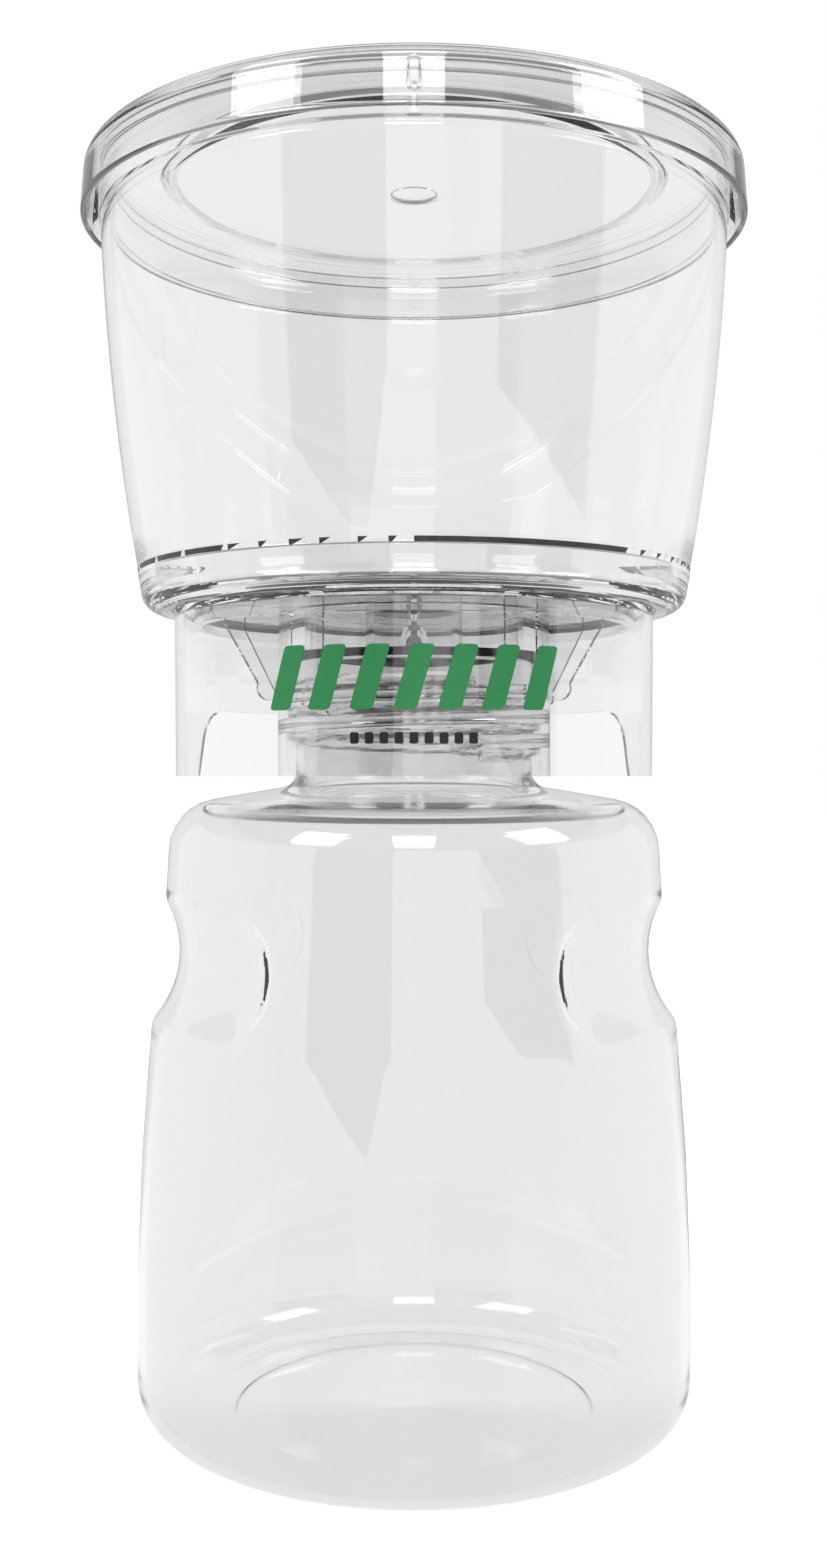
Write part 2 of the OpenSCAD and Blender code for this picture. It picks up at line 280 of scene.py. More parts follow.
def arc_between(start, end, middle, turn, steps):
    """Points on the arc from start to end about middle."""
    points = []
    for k in range(steps + 1):
        near = math.sin(turn * (1 - k / steps)) / math.sin(turn)
        far = math.sin(turn * k / steps) / math.sin(turn)
        points.append(tuple(middle + near * (start - middle) + far * (end - middle)))
    return points


def rounded(corners):
    """Points (radius, height) through corners (radius, height, rounding), in millimetres."""
    points = [corners[0][:2]]
    for before, (x, z, rounding), after in zip(corners, corners[1:], corners[2:]):
        here = np.array((x, z), float)
        back, on = np.array(before[:2]) - here, np.array(after[:2]) - here
        u, v = back / np.linalg.norm(back), on / np.linalg.norm(on)
        half = math.acos(np.clip(u @ v, -1, 1)) / 2
        if rounding == 0 or half > NEARLY_STRAIGHT:
            points.append((x, z))
            continue
        cut = min(rounding / math.tan(half), MOST_OF_SIDE * np.linalg.norm(back),
                  MOST_OF_SIDE * np.linalg.norm(on))
        radius, turn = cut * math.tan(half), math.pi - 2 * half
        middle = here + (u + v) / np.linalg.norm(u + v) * radius / math.sin(half)
        steps = max(2, math.ceil(turn / ARC_STEP))
        points += arc_between(here + u * cut, here + v * cut, middle, turn, steps)
    return points + [corners[-1][:2]]


print("a 2 mm rounding on a square corner has", len(rounded([(0, 0, 0), (9, 0, 2), (9, 9, 0)])), "points")

# %% Split long stretches
def refined(points, longest):
    """The same line with no piece longer than longest says for its height."""
    fine = [points[0]]
    for (x0, z0), (x1, z1) in zip(points, points[1:]):
        parts = max(1, math.ceil(math.hypot(x1 - x0, z1 - z0) / longest((z0 + z1) / 2)))
        fine += [(x0 + (x1 - x0) * k / parts, z0 + (z1 - z0) * k / parts) for k in range(1, parts + 1)]
    return np.array(fine)


print("9 mm in steps of 2 mm has", len(refined([(0, 0), (9, 0)], lambda z: 2.0)), "points")

# %% Make an object from points
SHARP_EDGE = 38


def new_piece(name, vertices, faces, material, sharp=None):
    """An object from points in metres, smooth but for edges over sharp degrees, or flat without sharp."""
    mesh = bpy.data.meshes.new(name)
    mesh.from_pydata(vertices, [], faces)
    mesh.materials.append(material)
    if sharp is not None:
        mesh.polygons.foreach_set("use_smooth", [True] * len(faces))
        mesh.set_sharp_from_angle(angle=math.radians(sharp))
    piece = bpy.data.objects.new(name, mesh)
    bpy.context.scene.collection.objects.link(piece)
    print(name, len(vertices), "points", len(faces), "faces")
    return piece


def round_point(r, angle, z):
    """A point in metres from a radius and a height in millimetres."""
    return (r * math.cos(angle) * MM, r * math.sin(angle) * MM, z * MM)


print("edges over", SHARP_EDGE, "degrees stay sharp")

# %% Sweep a section around the axis
ON_AXIS = 1e-6


def swept(name, radius, height, angles, material):
    """A closed skin from section rows x angle columns of radii and heights, in millimetres.

    Rows that lie on the axis become one point. Other sections close from their last row to their first.
    """
    rows, columns = radius.shape
    vertices, faces, row_start = [], [], []
    on_axis = [r.max() < ON_AXIS for r in radius]
    for r, h, single in zip(radius, height, on_axis):
        row_start.append(len(vertices))
        if single:
            vertices.append((0, 0, h[0] * MM))
        else:
            vertices += zip(r * np.cos(angles) * MM, r * np.sin(angles) * MM, h * MM)
    last = rows - 1 if on_axis[0] else rows
    for i in range(last):
        a, b = row_start[i], row_start[(i + 1) % rows]
        for j in range(columns):
            k = (j + 1) % columns
            if on_axis[i]:
                faces.append((a, b + k, b + j))
            elif on_axis[(i + 1) % rows]:
                faces.append((a + j, a + k, b))
            else:
                faces.append((a + j, a + k, b + k, b + j))
    r, h = radius[:, 0], height[:, 0]
    if r @ np.roll(h, -1) < h @ np.roll(r, -1):
        faces = [face[::-1] for face in faces]
    return new_piece(name, vertices, faces, material, SHARP_EDGE)


print("rows closer than", ON_AXIS, "mm to the axis become one point")

# %% [markdown]
# ## The bottle's section
#
# The bottle is one moulding with a rounded heel, a raised base, a wall that leans in, two finger
# grips, a sloping shoulder and a threaded neck. Each line of its section is a row of corners
# with their roundings.
#
# The raised base is two low domes, one on its underside and one on its inside. The radii of their
# edges differ by 0.6 mm, so only a thin crease shows. A step would be simpler, but it turns into
# a thicker dark ring.

# %% Bottle sizes
WALL = 1.3
LOW_WALL_Z, BELLY_Z, BELLY_OUT = 24, 44.8, 0.4
HIP, CHEST = (44.0, 65.6), (41.6, 87.4)
HEEL_ROUND, BELLY_ROUND, HIP_ROUND = 8.0, 60, 8
SHOULDER_Z, SHOULDER_SLOPE = 103.2, math.tan(math.radians(9.7))
SHOULDER_R, SHOULDER_EDGE_R, SHOULDER_ROUND = 33.4, 40.8, 8.9
NECK_R, NECK_IN_R = 20.0, 18.5
NECK_ROUND, THROAT_ROUND, THROAT_DROP, MOUTH_ROUND = 2.4, 3.6, 0.6, 0.35
PUSH_R, DOME_R, DOME_HEIGHT, DOME_FLAT_R, DOME_ROUND = 30.3, 29.7, 2.2, 6.0, 0.3
RING_DIP = 0.25
print("bottle wall", WALL, "mm, base domes", DOME_HEIGHT, "mm high")

# %% Draw the bottle's two lines
def slope_z(r):
    """Height of the shoulder's sloping top at radius r."""
    return SHOULDER_Z + (SHOULDER_R - r) * SHOULDER_SLOPE


def dome_points(edge_r, foot):
    """Section of a low dome from its flat middle out to edge_r, where it comes down to foot."""
    radii = np.linspace(DOME_FLAT_R, edge_r, 16)
    return [(r, foot + DOME_HEIGHT * (1 - (r / edge_r) ** 2), DOME_ROUND if r == edge_r else 0)
            for r in radii]


under_dome = dome_points(PUSH_R, 0)
inside_dome = dome_points(DOME_R, WALL - RING_DIP)
belly_r = (bottle_r + HIP[0]) / 2 + BELLY_OUT
outer_corners = [
    (0, under_dome[0][1], 0), *under_dome,
    (bottle_r, 0, HEEL_ROUND), (bottle_r, LOW_WALL_Z, BELLY_ROUND), (belly_r, BELLY_Z, BELLY_ROUND),
    (*HIP, HIP_ROUND), (*CHEST, HIP_ROUND), (SHOULDER_EDGE_R, slope_z(SHOULDER_EDGE_R), SHOULDER_ROUND),
    (NECK_R, slope_z(NECK_R), NECK_ROUND),
    (NECK_R, neck_top, MOUTH_ROUND), (NECK_IN_R, neck_top, MOUTH_ROUND),
]
inner_corners = [
    (NECK_IN_R, slope_z(NECK_R) - THROAT_DROP, THROAT_ROUND),
    (SHOULDER_EDGE_R - WALL, slope_z(SHOULDER_EDGE_R) - WALL, SHOULDER_ROUND - WALL),
    (CHEST[0] - WALL, CHEST[1], HIP_ROUND), (HIP[0] - WALL, HIP[1], HIP_ROUND),
    (belly_r - WALL, BELLY_Z, BELLY_ROUND), (bottle_r - WALL, LOW_WALL_Z, BELLY_ROUND),
    (bottle_r - WALL, WALL, HEEL_ROUND - WALL), *inside_dome[::-1],
    (0, inside_dome[0][1], 0),
]
print("bottle corners:", len(outer_corners), "outside,", len(inner_corners), "inside")

# %% [markdown]
# ## Grips and thread
#
# The grips are grooves cut by a ring on each side, with ball ends, so their radius can be worked
# out for every point of the wall. Where groove and wall meet, a smooth minimum rounds the edge.
# The screw thread is a ridge that climbs 4 mm in each turn, added to the neck's radius. Cutting
# and joining solids could make both, but this way the bottle stays one skin with even faces.

# %% Grips as radii
GRIP_Z, GRIP_DEPTH, GRIP_ROUND, GRIP_EDGE, GRIP_REACH = 78.1, 3.4, 17.0, 0.7, 20
GRIP_HALF = math.radians(47.2)
GRIP_MIDDLE = (HIP[0] + CHEST[0]) / 2 - GRIP_DEPTH + GRIP_ROUND
FAR_OUT = 99


def soft_min(a, b, width):
    """The smaller of a and b, with the edge where they meet rounded over width."""
    share = np.clip(0.5 + (b - a) / (2 * width), 0, 1)
    return b + (a - b) * share - width * share * (1 - share)


def near_side(middle, reach_squared):
    """Nearest radius of a circle about middle, or far outside the wall where there is none."""
    return np.where(reach_squared > 0, middle - np.sqrt(np.maximum(reach_squared, 0)), FAR_OUT)


def grip_radius(angles, height, grow):
    """Radius of the grip's surface, far outside the wall where there is no grip."""
    side = np.abs(np.arctan2(np.sin(angles), np.abs(np.cos(angles))))
    dz = height - GRIP_Z
    past = side - GRIP_HALF
    groove = near_side(GRIP_MIDDLE, (GRIP_ROUND + grow) ** 2 - dz**2)
    ball = (GRIP_ROUND + grow) ** 2 - dz**2 - (GRIP_MIDDLE * np.sin(past)) ** 2
    return np.where(side < GRIP_HALF, groove, near_side(GRIP_MIDDLE * np.cos(past), ball))


print("grips reach", round(math.degrees(GRIP_HALF), 1), "degrees to each side of the bottle's left and right")

# %% Thread as an added height
PITCH, RIDGE_TALL, RIDGE_HALF, FLANK = 4.0, 1.3, 1.15, 0.75
NECK_TURNS, NECK_THREAD_Z, NECK_PHASE = 3.0, 110.6, math.radians(-60)
RUN_OUT = math.radians(24)


def neck_ridge(angles, height):
    """Height of the neck's screw ridge above its cylinder, in millimetres."""
    around = np.mod(angles - NECK_PHASE, 2 * math.pi)
    tall_here = np.zeros(np.broadcast(angles, height).shape)
    for k in range(math.ceil(NECK_TURNS) + 1):
        travelled = around + 2 * math.pi * k
        middle = NECK_THREAD_Z + PITCH * travelled / (2 * math.pi)
        ends = np.minimum(travelled, 2 * math.pi * NECK_TURNS - travelled)
        taper = np.clip(ends / RUN_OUT, 0, 1)
        flank = np.clip((RIDGE_HALF - np.abs(height - middle)) / FLANK, 0, 1)
        tall_here = np.maximum(tall_here, RIDGE_TALL * taper * flank * flank * (3 - 2 * flank))
    return tall_here


print("neck thread:", NECK_TURNS, "turns of", PITCH, "mm")

# %% [markdown]
# ## Build the bottle
#
# Rows lie closer together in the grips and on the thread, and columns at the ends of the grips,
# because that is where the surface bends most. Everywhere else long rows are smooth enough.

# %% Choose rows and columns
COLUMN_STEP = 1.5
GRIP_ROWS, THREAD_ROWS = (62, 95), (108.5, 124)
GRIP_ENDS = (42, 64)
JOIN_DEPTH = 0.4


def outer_step(z):
    """Longest step between outer rows, finer in the grips and on the thread."""
    if GRIP_ROWS[0] < z < GRIP_ROWS[1]:
        return 0.8
    return 0.32 if THREAD_ROWS[0] < z < THREAD_ROWS[1] else 2.4


def inner_step(z):
    """Longest step between inner rows, finer in the grips."""
    return 0.9 if GRIP_ROWS[0] < z < GRIP_ROWS[1] else 2.8


coarse = np.radians(np.arange(0, 360, COLUMN_STEP))
side_of = np.degrees(np.arctan2(np.abs(np.sin(coarse)), np.abs(np.cos(coarse))))
at_grip_end = (side_of > GRIP_ENDS[0]) & (side_of < GRIP_ENDS[1])
between = coarse[at_grip_end] + math.radians(COLUMN_STEP / 2)
bottle_angles = np.sort(np.concatenate([coarse, between]))
outer = refined(rounded(outer_corners + [inner_corners[0]]), outer_step)
join_row = np.argmin(np.hypot(outer[:, 0] - NECK_IN_R, outer[:, 1] - (neck_top - JOIN_DEPTH)))
outer = outer[: join_row + 1]
inner = refined(rounded([outer_corners[-1]] + inner_corners), inner_step)
inner = inner[inner[:, 1] < neck_top - 2 * JOIN_DEPTH]
print("bottle rows:", len(outer), "outside,", len(inner), "inside, columns:", len(bottle_angles))

# %% Sweep the bottle
THREAD_FLOOR = 109
section = np.concatenate([outer, inner])
across, up = np.meshgrid(bottle_angles, section[:, 1])
bottle_radius = np.repeat(section[:, :1], len(bottle_angles), 1)
is_inner = (np.arange(len(section)) >= len(outer))[:, None]
grip = grip_radius(across, up, np.where(is_inner, WALL, 0))
in_reach = np.abs(up - GRIP_Z) < GRIP_REACH
bottle_radius = np.where(in_reach, soft_min(bottle_radius, grip, GRIP_EDGE), bottle_radius)
on_neck = ~is_inner & (up > THREAD_FLOOR) & (section[:, :1] > NECK_R - 0.01)
bottle_radius = bottle_radius + np.where(on_neck, neck_ridge(across, up), 0)
bottle = swept("bottle_shell", bottle_radius, up, bottle_angles, bottle_clear)
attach(bottle, "bottle")
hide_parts("bottle")

# %% [markdown]
# ## The funnel
#
# The funnel is a thin wall with a slight outward bow, a thicker band and a flat rim on top, and a
# short spigot at its foot that presses the membrane onto its ledge. It is round all over, so each
# row of its section keeps one radius. A Screw modifier could turn it too, but `swept` is here
# already and lets the corners be rounded first.

# %% Draw the funnel's section
FUNNEL_WALL, BOW, FUNNEL_TOP_R, RIM_THICK = 1.5, 1.0, 52.3, 1.8
SPIGOT_R, SPIGOT_IN_R, SPIGOT_BEVEL = 44.8, 43.2, 0.8
BAND_HIGH, BAND_OUT, FOOT_IN, WELD_GAP = 7.95, 0.3, 0.15, 0.02
funnel_foot_r, funnel_foot_z = radius_of("adapter") - FOOT_IN, weld_z + WELD_GAP
spigot_z = foot_of("funnel")
band_z, band_r = rim_z - BAND_HIGH, FUNNEL_TOP_R + BAND_OUT


def funnel_r(t):
    """Outside radius at a share t of the way from the weld to the band."""
    return funnel_foot_r + (FUNNEL_TOP_R - funnel_foot_r) * t + 4 * BOW * t * (1 - t)


shares = np.linspace(0, 1, 25)
outside = [(funnel_r(t), funnel_foot_z + (band_z - funnel_foot_z) * t, 0.4 if t in (0, 1) else 0)
           for t in shares]
inside = [(funnel_r(t) - FUNNEL_WALL, weld_z + (band_z - weld_z) * t, 0) for t in shares[:1:-1]]
funnel_corners = [
    (SPIGOT_IN_R, spigot_z + SPIGOT_BEVEL, 0), (SPIGOT_IN_R, spigot_z, 0.2), (SPIGOT_R, spigot_z, 0.2),
    (SPIGOT_R, funnel_foot_z, 0.1), *outside,
    (band_r, band_z + 0.4, 0.3), (band_r, rim_z - RIM_THICK, 0.35), (rim_r, rim_z - RIM_THICK, 0.25),
    (rim_r, rim_z, 0.3), (FUNNEL_TOP_R - FUNNEL_WALL, rim_z, 0.3),
    *inside, (SPIGOT_IN_R, spigot_z + 2 * SPIGOT_BEVEL, SPIGOT_BEVEL), (SPIGOT_IN_R, spigot_z + 0.9, 0),
]
print("funnel corners:", len(funnel_corners))

# %% Turn the funnel
FUNNEL_STEP, FUNNEL_COLUMNS = 3.0, 240
funnel_section = refined(rounded(funnel_corners), lambda z: FUNNEL_STEP)
funnel_angles = np.linspace(0, 2 * math.pi, FUNNEL_COLUMNS, endpoint=False)
funnel_radius = np.repeat(funnel_section[:, :1], FUNNEL_COLUMNS, 1)
funnel_height = np.repeat(funnel_section[:, 1:], FUNNEL_COLUMNS, 1)
funnel = swept("funnel_wall", funnel_radius, funnel_height, funnel_angles, moulded_clear)
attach(funnel, "filter_head")
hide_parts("funnel")

# %% [markdown]
# ## The lid
#
# The lid has a round-edged ring, a sunk middle panel with an upright step and a small round
# moulding mark, and a short skirt. Four nubs inside the skirt centre it on the rim. Small
# cylinders could be set there, but clear pieces that run into each other show their hidden faces.
# So the nubs are pushed out of the skirt's inner surface, with finer columns around them.

# %% Draw the lid's section
LID_WALL, SUNK, PANEL_R, GATE_R, GATE_DEEP = 1.9, 1.6, 40.1, 3.9, 0.5
LID_SKIRT_WALL, DRAFT, STEP_LEAN = 1.7, 0.7, 0.1
lid_under, panel_top = lid_top - LID_WALL, lid_top - SUNK
panel_under = panel_top - LID_WALL
skirt_in_r = lid_edge_r - LID_SKIRT_WALL
lid_corners = [
    (0, panel_top - GATE_DEEP, 0), (GATE_R - 0.15, panel_top - GATE_DEEP, 0.15), (GATE_R, panel_top, 0.15),
    (PANEL_R - STEP_LEAN, panel_top, 0.3), (PANEL_R + STEP_LEAN, lid_top, 0.4),
    (lid_edge_r - DRAFT, lid_top, 2.5), (lid_edge_r, lid_edge, 0.5),
    (skirt_in_r + DRAFT, lid_edge, 0.45), (skirt_in_r, lid_under - 0.5, 0.3),
    (skirt_in_r - 0.5, lid_under, 0.3), (PANEL_R + 2.52, lid_under, 0.6),
    (PANEL_R + 0.6, panel_under, 0.5), (0, panel_under, 0),
]
print("lid corners:", len(lid_corners), "panel top", round(panel_top, 2), "mm")

# %% Choose the lid's rows and columns
NUB_R, NUB_GAP, NUB_UP = 1.1, 0.2, 2
NUB_SPAN, NUB_COLUMNS = 1.5, 19
nub_middle = rim_r + NUB_GAP + NUB_R
nub_foot = lid_edge + NUB_UP + NUB_R


def lid_step(z):
    """Longest step between the lid's rows, finer where the nubs are."""
    return 0.35 if lid_edge + 1 < z < lid_under - 0.4 else 2.0


around_nub = np.linspace(-NUB_SPAN, NUB_SPAN, NUB_COLUMNS)
even = np.radians(np.arange(0, 360, COLUMN_STEP))
even = even[np.abs(np.mod(np.degrees(even) + 45, 90) - 45) > NUB_SPAN + 0.1]
at_nubs = [np.radians(a + around_nub) for a in (0, 90, 180, 270)]
lid_angles = np.sort(np.concatenate([even, *at_nubs]) % (2 * math.pi))
lid_section = refined(rounded(lid_corners), lid_step)
print("lid rows:", len(lid_section), "columns:", len(lid_angles))

# %% Sweep the lid with its nubs
across, up = np.meshgrid(lid_angles, lid_section[:, 1])
lid_radius = np.repeat(lid_section[:, :1], len(lid_angles), 1)
off = np.mod(across + math.pi / 4, math.pi / 2) - math.pi / 4
bulge = NUB_R**2 - np.minimum(up - nub_foot, 0) ** 2 - (nub_middle * np.sin(off)) ** 2
row_r = lid_section[:, :1]
on_skirt = (row_r > skirt_in_r - 0.3) & (row_r < skirt_in_r + DRAFT - 0.1) & (up < lid_under - 0.2)
nub_radius = near_side(nub_middle * np.cos(off), bulge)
lid_radius = np.where(on_skirt, soft_min(lid_radius, nub_radius, 0.1), lid_radius)
lid = swept("lid_shell", lid_radius, up, lid_angles, moulded_clear)
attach(lid, "lid")
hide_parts("lid")

# %% [markdown]
# ## The collar's thread
#
# The collar's inner ridge runs about half a pitch away from the neck's. The collar is a CAD node
# and keeps its mesh, so the ridge is a helical strip of its own that stands on the collar's inner
# wall, swept as a tube with a section of seven points.

# %% Sweep the collar's thread
THREAD_R, ROOT_IN = 21.75, 0.02
COLLAR_TURNS, STEPS_PER_TURN, COLLAR_THREAD_Z = 2.6, 110, 112.2
COLLAR_PHASE, COLLAR_RUN_OUT, END_TALL = math.radians(-75), 0.4, 0.02
flank_points = [(ROOT_IN, 1.15), (-0.25, 1.0), (-1.2, 0.38)]
profile = [(THREAD_R + out, -dz) for out, dz in flank_points]
profile += [(THREAD_R - RIDGE_TALL, 0.0)]
profile += [(THREAD_R + out, dz) for out, dz in reversed(flank_points)]
steps, ring = int(COLLAR_TURNS * STEPS_PER_TURN), len(profile)
vertices, faces = [], []
for i in range(steps + 1):
    a = 2 * math.pi * COLLAR_TURNS * i / steps
    from_end = (2 * math.pi * COLLAR_TURNS - a + END_TALL) / COLLAR_RUN_OUT
    taper = min(1, (a + END_TALL) / COLLAR_RUN_OUT, from_end)
    for r, dz in profile:
        r_here = THREAD_R + ROOT_IN - (THREAD_R + ROOT_IN - r) * taper
        z = COLLAR_THREAD_Z + PITCH * a / (2 * math.pi) + dz
        vertices.append(round_point(r_here, a + COLLAR_PHASE, z))
for i in range(steps):
    for j in range(ring):
        k = (j + 1) % ring
        faces.append((i * ring + j, i * ring + k, (i + 1) * ring + k, (i + 1) * ring + j))
faces.append(tuple(range(ring)))
faces.append(tuple(reversed(range(steps * ring, (steps + 1) * ring))))
collar_thread = new_piece("collar_thread", vertices, faces, moulded_clear, 50)
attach(collar_thread, "filter_head")

# %% [markdown]
# ## The weld between funnel and cup
#
# Funnel and cup are welded together, and just above the cup's edge the weld draws a thin dark line
# in the clear wall. Here that line is painted shade: near-black strips stand for it. It isn't even:
# some stretches are whole, and the rest is broken into short dashes with slanted ends. Each dash is
# a thin strip that lies on the funnel's wall. A mask in the wall's material could draw the line too,
# but the clear wall would then need a second, opaque finish.

# %% Choose the dashes
FIRST_DASH = ((0.0, 44.0), (0.0, 43.4))
DASHES_FROM, LAST_START, LAST_END = 48.0, 356, 357
WHOLE_STRETCHES = ((78, 160), (282, 316))


def weld_shade_dashes():
    """Dashes as (start, end) angles of the upper edge and of the lower edge, from the front, in degrees."""
    chance = np.random.default_rng(11)
    found = [FIRST_DASH]
    angle = DASHES_FROM
    while angle < LAST_START:
        whole = any(start < angle < end for start, end in WHOLE_STRETCHES)
        length = chance.uniform(7, 13) if whole else chance.uniform(1.6, 3.0)
        end = min(angle + length, LAST_END)
        lower_end = end - 0.8 if whole else angle + chance.uniform(0.2, 0.7)
        found.append(((angle, end), (angle, max(lower_end, angle + 0.2))))
        angle = end + (chance.uniform(0.5, 1.2) if whole else chance.uniform(3.0, 5.0))
    return found


dashes = weld_shade_dashes()
print("weld flash:", len(dashes), "dashes")

# %% Lay the weld flash, painted dark as shade
# The strips are near-black: painted shade for the dark line that the weld's edge draws in the clear wall.
WELD_SHADE_DARK, WELD_SHADE_PALE = (0.025, 0.025, 0.026), (0.06, 0.06, 0.06)
FLASH_SINK, FLASH_STAND = 0.03, 0.05
weld_shade_paint, _ = speckled("weld_shade_paint", WELD_SHADE_DARK, WELD_SHADE_PALE, (700, 3), (0.00001, 0.5), (0.3, 0.5))
flash_low, flash_high = weld_z + 0.05, weld_z + 0.85
vertices, faces = [], []
for (upper_start, upper_end), (lower_start, lower_end) in dashes:
    columns = max(2, math.ceil((upper_end - upper_start) / 2) + 1)
    first = len(vertices)
    for k in range(columns):
        t = k / (columns - 1)
        for z, start, end in ((flash_low, lower_start, lower_end), (flash_high, upper_start, upper_end)):
            a = math.radians(-90 + start + (end - start) * t)
            wall_r = funnel_r((z - funnel_foot_z) / (band_z - funnel_foot_z))
            vertices += [round_point(r, a, z) for r in (wall_r - FLASH_SINK, wall_r + FLASH_STAND)]
    for k in range(columns - 1):
        a, b = first + 4 * k, first + 4 * (k + 1)
        for j, m in ((0, 1), (1, 3), (3, 2), (2, 0)):
            faces.append((a + m, a + j, b + j, b + m))
    a, b = first, first + 4 * (columns - 1)
    faces += [(a, a + 1, a + 3, a + 2), (b, b + 2, b + 3, b + 1)]
weld_shade_strips = new_piece("weld_shade_strips", vertices, faces, weld_shade_paint)
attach(weld_shade_strips, "filter_head")

# %% [markdown]
# ## The printed marks
#
# The front of such a skirt is printed. Here it carries a row of slanted green bars with a row of
# small black blocks below it, which mean nothing. Ink has a thickness and follows the curve of
# the skirt, so each mark is a small grid of points that is wrapped round the skirt and closed at
# its edges. A flat sheet would stand off the curved wall at its ends.

# %% Make the inks
def ink(name, color):
    """Printing ink, very slightly uneven."""
    thin = [0.93 * c for c in color]
    return speckled(name, thin, color, (1800, 3), (0.000008, 0.6), (0.35, 0.5))[0]


green_ink = ink("green_ink", (0.027, 0.283, 0.084))
black_ink = ink("black_ink", (0.012, 0.012, 0.012))
print("inks:", green_ink.name, black_ink.name)

# %% Draw a mark
def mark_grid(middle_x, middle_z, wide, tall, slant, corner):
    """Rows of (x, z) points of one slanted mark with round corners."""
    rows = []
    heights = np.linspace(-tall / 2, tall / 2, 9)
    ends = np.linspace(0, corner, 5)
    heights = np.unique(np.concatenate([heights, -tall / 2 + ends, tall / 2 - ends]).round(4))
    for h in heights:
        depth = max(0, corner - (tall / 2 - abs(h)))
        half = wide / 2 - corner + math.sqrt(max(corner**2 - depth**2, 1e-4))
        rows.append([(middle_x + slant * h + half * c, middle_z + h) for c in np.linspace(-1, 1, 7)])
    return rows


print("a round-cornered mark has", len(mark_grid(0, 0, 2, 3, 0, 0.3)), "rows of points")

# %% Wrap marks round the skirt
PRINT_R, INK_SINK, INK_THICK = 40.03, 0.05, 0.06


def printed(name, marks, material):
    """Marks of ink, each a closed thin skin on the front of the skirt."""
    vertices, faces = [], []
    for rows in marks:
        first, count, columns = len(vertices), len(rows), len(rows[0])
        for r in (PRINT_R - INK_SINK, PRINT_R + INK_THICK):
            for row in rows:
                vertices += [round_point(r, -math.pi / 2 + x / PRINT_R, z) for x, z in row]
        layer = count * columns
        for i in range(count - 1):
            for j in range(columns - 1):
                a = first + i * columns + j
                faces.append((a, a + columns, a + columns + 1, a + 1))
                a += layer
                faces.append((a, a + 1, a + columns + 1, a + columns))
        rim = list(range(columns))
        rim += [i * columns + columns - 1 for i in range(1, count)]
        rim += range(layer - 2, layer - columns - 1, -1)
        rim += [i * columns for i in range(count - 2, 0, -1)]
        for a, b in zip(rim, rim[1:] + rim[:1]):
            faces.append((first + a, first + b, first + b + layer, first + a + layer))
    piece = new_piece(name, vertices, faces, material)
    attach(piece, "filter_head")
    print(name, "has", len(marks), "marks")


print("print lies at radius", PRINT_R, "mm")

# %% Print the marks
BAR = {"middle_z": 121.6, "wide": 3.5, "tall": 9.6, "slant": 0.28, "corner": 0.6}
BLOCK = {"middle_z": 112.6, "wide": 1.3, "tall": 1.7, "slant": 0, "corner": 0.3}
BAR_REACH, BARS, BLOCK_REACH, BLOCKS = 19.6, 7, 8.8, 9
bars = [mark_grid(x, **BAR) for x in np.linspace(-BAR_REACH, BAR_REACH, BARS)]
blocks = [mark_grid(x, **BLOCK) for x in np.linspace(-BLOCK_REACH, BLOCK_REACH, BLOCKS)]
printed("green_bars", bars, green_ink)
printed("black_blocks", blocks, black_ink)

# %% [markdown]
# ## The pieces that stay as they are
#
# The adapter, the hose nozzle, the air filter, the membrane and the neck seal have their right
# shape in the CAD model already. They keep their meshes and only get a finish.

# %% Give the remaining CAD nodes their finish
finishes = {
    "neck_seal": silicone_pale, "adapter": moulded_clear, "hose_nozzle": moulded_clear,
    "air_filter": fibre_white, "membrane": membrane_white,
}
for node_name, material in finishes.items():
    node = nodes[node_name]
    node.data.materials.clear()
    node.data.materials.append(material)
print("finished nodes:", sorted(finishes))

# %% [markdown]
# ## A studio for clear plastic
#
# Clear plastic has no colour of its own: it shows what is around it. A white surround makes it
# bright, and whatever is dark draws its edges. The room is white behind the unit, a little less
# white at the front, and dimmer above. Two dark gaps in the front wall give the upright bands:
# once from the outside of the near wall, once more from its inside, and faintly from the far
# wall. Boards could make such a room, but in a world shader each edge is just one number.
#
# Light Path's outputs tell the world which kind of ray has left the plastic. The camera itself
# sees plain white, the plastic sees the room, and matt surfaces get an even, soft fill. Mirrored
# rays don't see quite the same room as bent ones: it is darker straight behind the unit, and the
# ceiling hangs lower and goes from nearly black in front to grey at the back. No real room does
# this, but it lets the dark edges and the bright walls be set apart from each other.

# %% Helpers for the surroundings
def calc(tree, operation, *values):
    """A Math node fed with sockets or plain numbers."""
    node = tree.nodes.new("ShaderNodeMath")
    node.operation = operation
    for socket, value in zip(node.inputs, values):
        if isinstance(value, (int, float)):
            socket.default_value = value
        else:
            tree.links.new(value, socket)
    return node.outputs[0]


def blended(tree, share, low, high):
    """low where share is 0 and high where it is 1."""
    return calc(tree, "ADD", calc(tree, "MULTIPLY", share, calc(tree, "SUBTRACT", high, low)), low)


def step_up(tree, value, low, high):
    """0 below low, 1 above high, a smooth rise between."""
    rise = tree.nodes.new("ShaderNodeMapRange")
    rise.interpolation_type = "SMOOTHSTEP"
    for name, number in (("From Min", low), ("From Max", high)):
        if isinstance(number, (int, float)):
            rise.inputs[name].default_value = number
        else:
            tree.links.new(number, rise.inputs[name])
    tree.links.new(value, rise.inputs["Value"])
    return rise.outputs["Result"]


print("surroundings are worked out by Math and Map Range nodes")

# %% Directions and kinds of rays
def side_angle(tree, x, y):
    """Angle of a direction from the front, positive to the right of the camera, in radians."""
    return calc(tree, "ARCTAN2", x, calc(tree, "MULTIPLY", y, -1))


